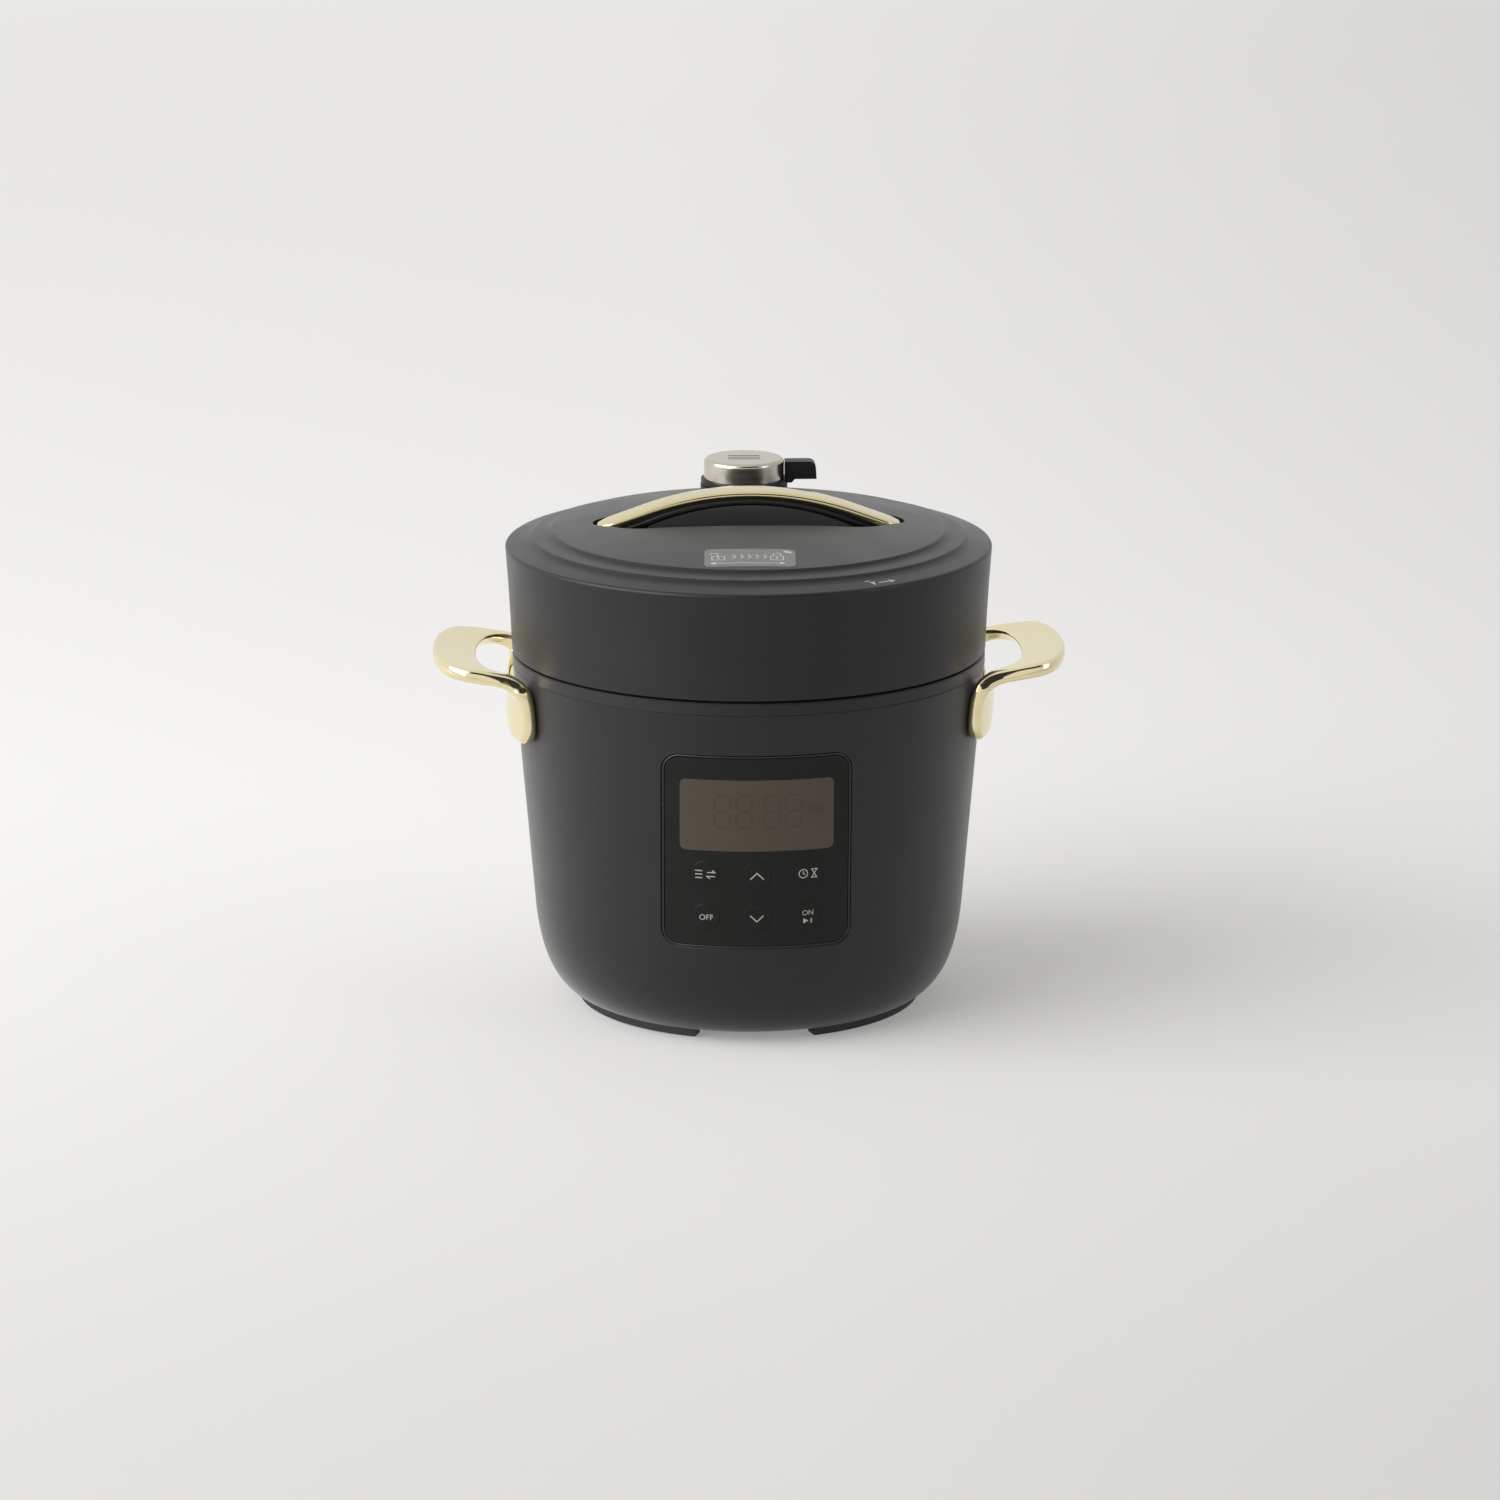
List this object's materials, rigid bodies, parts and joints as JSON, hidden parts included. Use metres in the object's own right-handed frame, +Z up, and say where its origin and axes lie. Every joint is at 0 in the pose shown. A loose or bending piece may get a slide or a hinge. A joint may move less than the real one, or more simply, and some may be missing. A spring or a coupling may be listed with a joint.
{
  "type": "electric pressure cooker",
  "caption": "Round tapered electric pressure cooker with a bayonet lid, arched lid handle, steam vent with lever, loop side handles and a front panel with display and keys.",
  "frame": {"origin": "centre of the foot circle, on the standing surface", "axes": "+Z up, -Y towards the front with the control panel, +X towards the side handle on the viewer's right"},
  "size_m": [0.2802, 0.2146, 0.2324],
  "materials": {
    "body_black": "fine matte soft-touch",
    "lid_black": "fine matte soft-touch",
    "base_black": "matte",
    "foot_rubber": "matte",
    "gold": "polished pale gold plating",
    "handle_core": "satin",
    "vent_black": "matte",
    "cap_steel": "turned and brushed",
    "collar_steel": "satin",
    "screw_steel": "zinc plated",
    "post_steel": "zinc plated",
    "jacket_aluminium": "satin",
    "plate_aluminium": "turned",
    "element_sheath": "dull",
    "fuse_ceramic": "matte",
    "spring_steel": "drawn wire",
    "sensor_aluminium": "satin",
    "board_green": "solder mask",
    "component_plastic": "moulded",
    "cable_jacket": "PVC",
    "inlet_plastic": "moulded",
    "pin_nickel": "nickel plated",
    "panel_rim": "satin",
    "panel_black": "satin film",
    "window_smoke": "smoked",
    "lcd_glass": "display glass",
    "key_black": "satin film",
    "pot_coating": "non-stick coating",
    "silicone": "translucent",
    "label_film": "translucent film",
    "float_steel": "turned",
    "bush_plastic": "moulded",
    "weight_steel": "turned"
  },
  "bodies": {
    "base": {"outer_shell": "body_black", "bottom_cover": "base_black", "rubber_feet": "foot_rubber", "bottom_screws": "screw_steel", "support_posts": "post_steel", "body_top_ring": "body_black", "bayonet_ring": "collar_steel", "pot_jacket": "jacket_aluminium", "heating_plate": "plate_aluminium", "heating_element": "element_sheath", "thermal_fuse": "fuse_ceramic", "sensor_holder": "collar_steel", "sensor_spring": "spring_steel", "power_board": "board_green", "power_board_parts": "component_plastic", "board_screws": "screw_steel", "wire_harness": "cable_jacket", "inlet_housing": "inlet_plastic", "inlet_pins": "pin_nickel", "inlet_screws": "screw_steel", "left_handle": "gold", "right_handle": "gold", "handle_screws": "screw_steel", "panel_frame": "panel_rim", "panel_overlay": "panel_black", "display_window": "window_smoke", "lcd_module": "lcd_glass", "control_board": "board_green", "tact_switches": "component_plastic", "control_board_screws": "screw_steel"},
    "sensor": {"sensor_cap": "sensor_aluminium"},
    "pot": {"inner_pot": "pot_coating"},
    "seal": {"sealing_ring": "silicone"},
    "lid": {"lid_cover": "lid_black", "pressure_lid": "collar_steel", "lid_screws": "screw_steel", "lid_label": "label_film", "lid_handle_strap": "gold", "lid_handle_core": "handle_core", "lid_handle_screws": "screw_steel", "steam_pipe": "collar_steel", "steam_pipe_nut": "collar_steel", "clog_guard": "collar_steel", "vent_collar": "vent_black", "float_bush": "bush_plastic"},
    "vent": {"vent_lever": "vent_black", "vent_cap": "cap_steel"},
    "float": {"float_pin": "float_steel", "float_seal": "silicone"},
    "weight": {"regulator_weight": "weight_steel"},
    "key_menu": {"key_menu": "key_black"},
    "key_up": {"key_up": "key_black"},
    "key_timer": {"key_timer": "key_black"},
    "key_off": {"key_off": "key_black"},
    "key_down": {"key_down": "key_black"},
    "key_start": {"key_start": "key_black"}
  },
  "joints": [
    {"name": "pot_lift", "type": "slide", "parent": "base", "child": "pot", "axis": [0, 0, 1], "range_m": [0, 0.15]},
    {"name": "lid_lift", "type": "slide", "parent": "pot", "child": "seal", "axis": [0, 0, 1], "range_m": [0, 0.11]},
    {"name": "lid_turn", "type": "hinge", "parent": "seal", "child": "lid", "pos_m": [0, 0, 0.16], "axis": [0, 0, 1], "range_deg": [-30, 0]},
    {"name": "vent_turn", "type": "hinge", "parent": "lid", "child": "vent", "pos_m": [0, 0.058, 0.225], "axis": [0, 0, 1], "range_deg": [0, 60]},
    {"name": "float_rise", "type": "slide", "parent": "lid", "child": "float", "axis": [0, 0, 1], "range_m": [0, 0.004]},
    {"name": "weight_rise", "type": "slide", "parent": "lid", "child": "weight", "axis": [0, 0, 1], "range_m": [0, 0.0015]},
    {"name": "sensor_press", "type": "slide", "parent": "base", "child": "sensor", "axis": [0, 0, -1], "range_m": [0, 0.0015], "stiffness_N_per_m": 600, "deforming": ["sensor_spring"]},
    {"name": "key_menu_press", "type": "slide", "parent": "base", "child": "key_menu", "axis": [0.2259, 0.9707, 0.0822], "range_m": [0, 0.0005], "stiffness_N_per_m": 400},
    {"name": "key_up_press", "type": "slide", "parent": "base", "child": "key_up", "axis": [0, 0.9966, 0.0822], "range_m": [0, 0.0005], "stiffness_N_per_m": 400},
    {"name": "key_timer_press", "type": "slide", "parent": "base", "child": "key_timer", "axis": [-0.2259, 0.9707, 0.0822], "range_m": [0, 0.0005], "stiffness_N_per_m": 400},
    {"name": "key_off_press", "type": "slide", "parent": "base", "child": "key_off", "axis": [0.2259, 0.9707, 0.0822], "range_m": [0, 0.0005], "stiffness_N_per_m": 400},
    {"name": "key_down_press", "type": "slide", "parent": "base", "child": "key_down", "axis": [0, 0.9966, 0.0822], "range_m": [0, 0.0005], "stiffness_N_per_m": 400},
    {"name": "key_start_press", "type": "slide", "parent": "base", "child": "key_start", "axis": [-0.2259, 0.9707, 0.0822], "range_m": [0, 0.0005], "stiffness_N_per_m": 400}
  ]
}
